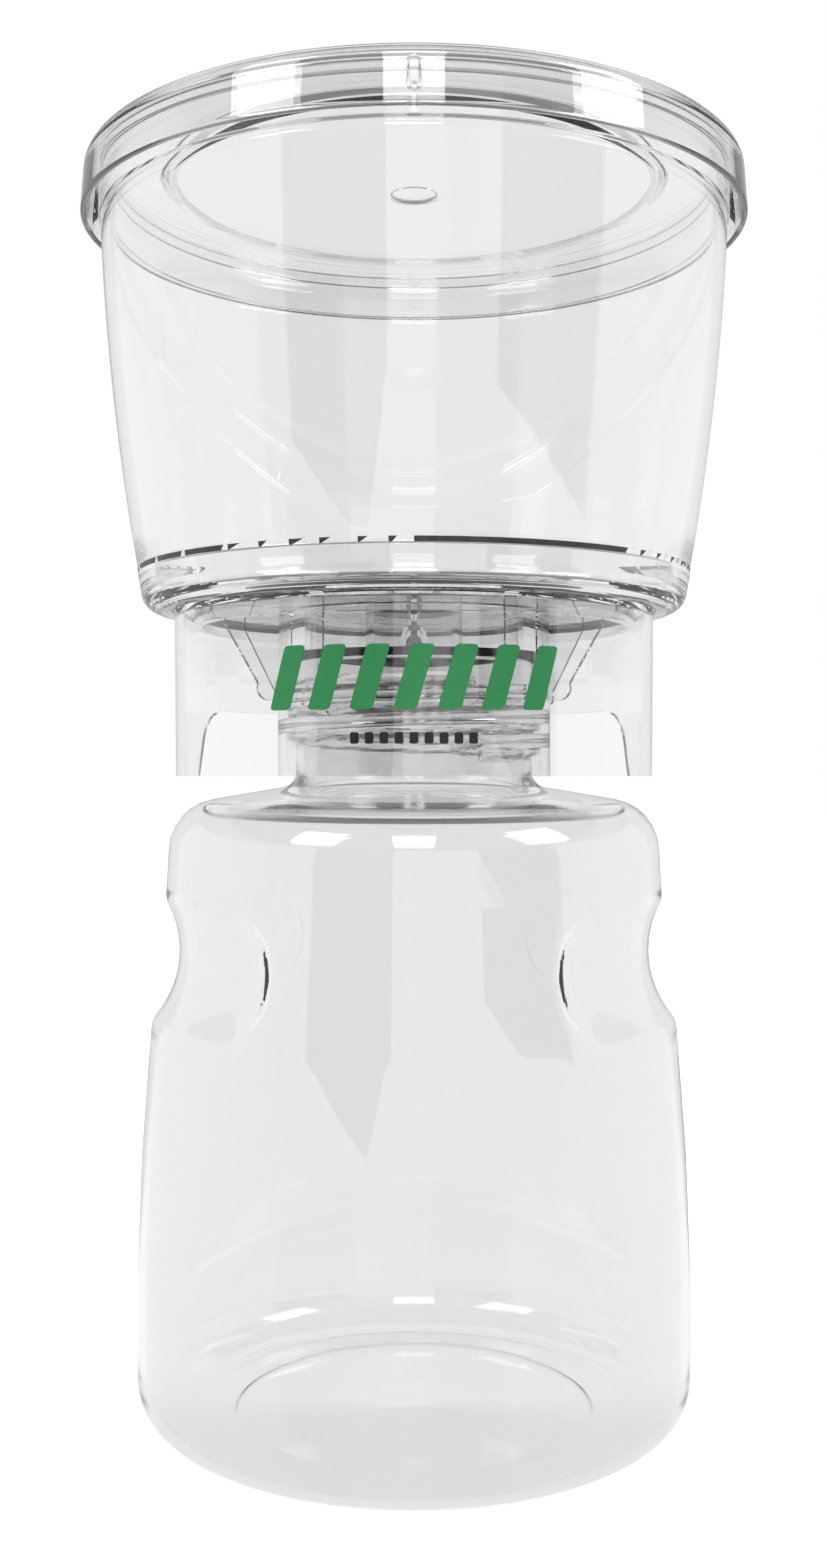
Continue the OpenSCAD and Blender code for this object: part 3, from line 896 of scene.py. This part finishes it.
def ray_kinds(tree):
    """Light Path's shares: seen by the camera, mirrored by the plastic, mirrored or bent by it.

    Is Glossy Ray is 1 for bent rays too, so the bent ones are taken off again for the mirrored ones.
    """
    rays = tree.nodes.new("ShaderNodeLightPath")
    bent = rays.outputs["Is Transmission Ray"]
    either = calc(tree, "MAXIMUM", rays.outputs["Is Glossy Ray"], bent)
    return rays.outputs["Is Camera Ray"], calc(tree, "SUBTRACT", either, bent), either


print("kinds of rays: seen by the camera, mirrored, mirrored or bent")

# %% The wall and its gaps
DEGREE = math.radians(1)
GAPS = ((-46, -9.5, 1.1), (30, 69, 0))
WALL_LIGHT, BACK_LIGHT, BACK_FROM, BACK_TO = 0.85, 1.0, -0.4, 0.3
BEHIND_LOSS, BEHIND_FROM, BEHIND_TO = 0.4, 135, 144


def in_gap(tree, side, lift, start, end, lean):
    """1 inside a gap from start to end degrees, whose end leans by lean for each degree down."""
    leaning_end = calc(tree, "MULTIPLY_ADD", calc(tree, "MINIMUM", lift, 0.0), lean, end * DEGREE)
    return calc(tree, "MULTIPLY", calc(tree, "GREATER_THAN", side, start * DEGREE),
                calc(tree, "LESS_THAN", side, leaning_end))


def wall_light(tree, side, toward_back, mirrored):
    """Light of the wall: brighter at the back, and darker behind the unit for mirrored rays."""
    wall = blended(tree, step_up(tree, toward_back, BACK_FROM, BACK_TO), WALL_LIGHT, BACK_LIGHT)
    behind = step_up(tree, calc(tree, "ABSOLUTE", side), BEHIND_FROM * DEGREE, BEHIND_TO * DEGREE)
    loss = calc(tree, "MULTIPLY", calc(tree, "MULTIPLY", behind, BEHIND_LOSS), mirrored)
    return calc(tree, "MULTIPLY", wall, calc(tree, "SUBTRACT", 1.0, loss))


print("gaps from", [gap[0] for gap in GAPS], "to", [gap[1] for gap in GAPS], "degrees")

# %% Make the world
MIRRORED_TOP, BENT_TOP, BENT_TOP_RISE, TOP_SOFT = 0.36, 0.50, 0.14, 0.05
CEILING_FRONT, CEILING_BACK, CEILING_BENT = 0.05, 0.45, 0.3
CEILING_FROM, CEILING_TO = -0.2, 0.4
SOFT_FILL = 0.45


def room_light(tree, mirrored):
    """Light of the room in each direction: the wall with its gaps, and a dimmer ceiling above it."""
    place = tree.nodes.new("ShaderNodeTexCoord")
    split = tree.nodes.new("ShaderNodeSeparateXYZ")
    tree.links.new(place.outputs["Generated"], split.inputs["Vector"])
    x, y, z = split.outputs["X"], split.outputs["Y"], split.outputs["Z"]
    side, lift = side_angle(tree, x, y), calc(tree, "ARCSINE", z)
    open_wall = 1.0
    for start, end, lean in GAPS:
        open_wall = calc(tree, "SUBTRACT", open_wall, in_gap(tree, side, lift, start, end, lean))
    wall = calc(tree, "MULTIPLY", wall_light(tree, side, y, mirrored), open_wall)
    bent_top = calc(tree, "MULTIPLY_ADD", y, BENT_TOP_RISE, BENT_TOP)
    top = blended(tree, mirrored, bent_top, MIRRORED_TOP)
    above = step_up(tree, z, top, calc(tree, "ADD", top, TOP_SOFT))
    ceiling = blended(tree, step_up(tree, y, CEILING_FROM, CEILING_TO), CEILING_FRONT, CEILING_BACK)
    ceiling = blended(tree, mirrored, CEILING_BENT, ceiling)
    return blended(tree, above, wall, ceiling)


world = bpy.data.worlds.new("studio")
world.use_nodes = True
bpy.context.scene.world = world
by_camera, mirrored, in_plastic = ray_kinds(world.node_tree)
level = blended(world.node_tree, in_plastic, SOFT_FILL, room_light(world.node_tree, mirrored))
level = blended(world.node_tree, by_camera, level, 1.0)
ground = world.node_tree.nodes["Background"]
ground.inputs["Color"].default_value = (1, 1, 1, 1)
world.node_tree.links.new(level, ground.inputs["Strength"])
print("world has", len(world.node_tree.nodes), "nodes")

# %% [markdown]
# ## The floor
#
# The floor is plain pale paper. The plastic sees it as white too, except in the two gaps, where
# the paper ends on a slant and the dark room begins. Because the floor is a real plane, the foot
# of each dark band comes out at another height for every height on the wall, as it should. The
# paper also glows for the camera, less so close to the unit, so that it runs into the white
# background and still keeps the unit's shadow.

# %% Where the paper ends
BOARD_FOOT, BOARD_PEAK = (1.19, -0.457, 0), (0.3255, -1.0446, 0.195)
PAPER_ENDS = (((-0.064, -0.56), (-2.19, -2.05)), (BOARD_FOOT[:2], BOARD_PEAK[:2]))


def beyond(tree, x, y, start, end):
    """1 on the side of the line from start to end that doesn't hold the unit."""
    along_x, along_y = end[0] - start[0], end[1] - start[1]
    offset = start[0] * along_y - start[1] * along_x
    turn = 1 if offset > 0 else -1
    crossed = calc(tree, "SUBTRACT", calc(tree, "MULTIPLY", x, turn * along_y),
                   calc(tree, "MULTIPLY", y, turn * along_x))
    return calc(tree, "GREATER_THAN", crossed, turn * offset)


print("paper ends along", len(PAPER_ENDS), "lines")

# %% Light of the paper for the plastic
TYPICAL_HEIGHT = 0.1


def paper_light(tree, x, y, far, mirrored):
    """Light of the paper as the plastic sees it: as the wall above it, and dark beyond its ends."""
    side = side_angle(tree, x, y)
    light = wall_light(tree, side, calc(tree, "DIVIDE", y, far), mirrored)
    down = calc(tree, "ARCTANGENT", calc(tree, "DIVIDE", TYPICAL_HEIGHT, far))
    lift = calc(tree, "MULTIPLY", down, -1)
    for (start, end, lean), (paper_start, paper_end) in zip(GAPS, PAPER_ENDS):
        dark = calc(tree, "MULTIPLY", in_gap(tree, side, lift, start, end, lean),
                    beyond(tree, x, y, paper_start, paper_end))
        light = calc(tree, "MULTIPLY", light, calc(tree, "SUBTRACT", 1.0, dark))
    return light


print("slopes are taken from", TYPICAL_HEIGHT, "m above the paper")

# %% Make the floor's material
PAPER_DARK, PAPER_PALE = (0.84, 0.84, 0.84), (0.86, 0.86, 0.86)
NEAR_GLOW, NEAR, FAR = 0.68, 0.1, 1.0


def glow(tree, strength):
    """A white light shader of a strength that comes from other nodes."""
    light = tree.nodes.new("ShaderNodeEmission")
    tree.links.new(strength, light.inputs["Strength"])
    return light.outputs["Emission"]


def floor_paper():
    """Pale paper that glows for the camera, and shows the room's light to the plastic."""
    material, tree, paper, output = new_material("white_floor")
    paper.inputs["Roughness"].default_value = 0.9
    grain = shaded(tree, noise(tree, 8, 2), PAPER_DARK, PAPER_PALE, 0, 1)
    tree.links.new(grain, paper.inputs["Base Color"])
    place = tree.nodes.new("ShaderNodeTexCoord")
    split = tree.nodes.new("ShaderNodeSeparateXYZ")
    away = tree.nodes.new("ShaderNodeVectorMath")
    away.operation = "LENGTH"
    tree.links.new(place.outputs["Object"], split.inputs["Vector"])
    tree.links.new(place.outputs["Object"], away.inputs[0])
    far = away.outputs["Value"]
    by_camera, mirrored, in_plastic = ray_kinds(tree)
    near_glow = blended(tree, step_up(tree, far, NEAR, FAR), NEAR_GLOW, 1.0)
    both = tree.nodes.new("ShaderNodeAddShader")
    tree.links.new(paper.outputs["BSDF"], both.inputs[0])
    tree.links.new(glow(tree, calc(tree, "MULTIPLY", by_camera, near_glow)), both.inputs[1])
    light = paper_light(tree, split.outputs["X"], split.outputs["Y"], far, mirrored)
    choice = tree.nodes.new("ShaderNodeMixShader")
    tree.links.new(in_plastic, choice.inputs["Fac"])
    tree.links.new(both.outputs["Shader"], choice.inputs[1])
    tree.links.new(glow(tree, light), choice.inputs[2])
    tree.links.new(choice.outputs["Shader"], output.inputs["Surface"])
    return material


print("paper's colour goes from", PAPER_DARK[0], "to", PAPER_PALE[0])

# %% Lay the floor
FLOOR_HALF, FLOOR_DROP = 4.0, 0.0002
floor_corners = [(-FLOOR_HALF, -FLOOR_HALF, 0), (FLOOR_HALF, -FLOOR_HALF, 0),
                 (FLOOR_HALF, FLOOR_HALF, 0), (-FLOOR_HALF, FLOOR_HALF, 0)]
floor = new_piece("floor", floor_corners, [(0, 1, 2, 3)], floor_paper())
floor.location.z = -FLOOR_DROP

# %% [markdown]
# ## A low board
#
# On the line where the paper ends on the right stands a low white board whose top edge falls to
# the floor. It gives the right band its slanted foot. Camera rays see it as plain white, and
# the plastic's rays as the wall, a little darker.

# %% Make the board
def board_paper():
    """White board: plain white for the camera, and as bright as the wall for the plastic."""
    material, tree, _, output = new_material("board_paper")
    by_camera = ray_kinds(tree)[0]
    tree.links.new(glow(tree, blended(tree, by_camera, WALL_LIGHT, 1.0)), output.inputs["Surface"])
    return material


board_corners = [BOARD_FOOT, (*BOARD_PEAK[:2], 0), BOARD_PEAK]
board = new_piece("low_board", board_corners, [(0, 1, 2)], board_paper())
print("board reaches", BOARD_PEAK[2] / MM, "mm")

# %% [markdown]
# ## Three soft lamps
#
# Photographers light clear things with soft boxes. Three stand round the front, high up, and
# each leaves a small bright patch on the bottle's shoulder. A lamp's brightness, its radiance,
# is the same for all three, so its energy is worked out from its area.

# %% Set up the lamps
LAMP_AWAY, LAMP_LIFT, LAMP_TALL, LAMP_RADIANCE = 2.5, 39, 22, 5.0
UNIT_MIDDLE = 0.107


def softbox(name, side, wide):
    """A square-cornered soft lamp, side degrees to the right of the camera.

    wide is the angle that it spans sideways, in degrees, as the unit sees it.
    """
    data = bpy.data.lights.new(name, "AREA")
    data.shape = "RECTANGLE"
    data.size = 2 * LAMP_AWAY * math.tan(math.radians(wide / 2))
    data.size_y = 2 * LAMP_AWAY * math.tan(math.radians(LAMP_TALL / 2))
    data.energy = LAMP_RADIANCE * math.pi * data.size * data.size_y
    lamp = bpy.data.objects.new(name, data)
    a, e = math.radians(side), math.radians(LAMP_LIFT)
    away = LAMP_AWAY * math.cos(e)
    lamp.location = (math.sin(a) * away, -math.cos(a) * away, UNIT_MIDDLE + LAMP_AWAY * math.sin(e))
    lamp.rotation_euler = (math.radians(90) - e, 0, a)
    lamp.visible_camera = False
    bpy.context.scene.collection.objects.link(lamp)
    print(name, "energy", round(data.energy, 1))


for name, side, wide in (("left_softbox", -51.5, 20), ("front_softbox", 0, 17), ("right_softbox", 70, 22)):
    softbox(name, side, wide)

# %% [markdown]
# ## Rules for the light
#
# A ray that crosses the unit meets many walls and is mirrored inside them too, so it may bend 64
# times before it is given up. With too few, clear pieces turn black where their walls lie behind
# each other. Focused light through the plastic is left out, because it adds noise.

# %% Set the render rules
scene = bpy.context.scene
scene.view_settings.view_transform = "Standard"
scene.cycles.max_bounces = 64
scene.cycles.transmission_bounces = 64
scene.cycles.glossy_bounces = 16
scene.cycles.transparent_max_bounces = 40
scene.cycles.caustics_reflective = False
scene.cycles.caustics_refractive = False
print("rays may bend", scene.cycles.transmission_bounces, "times")
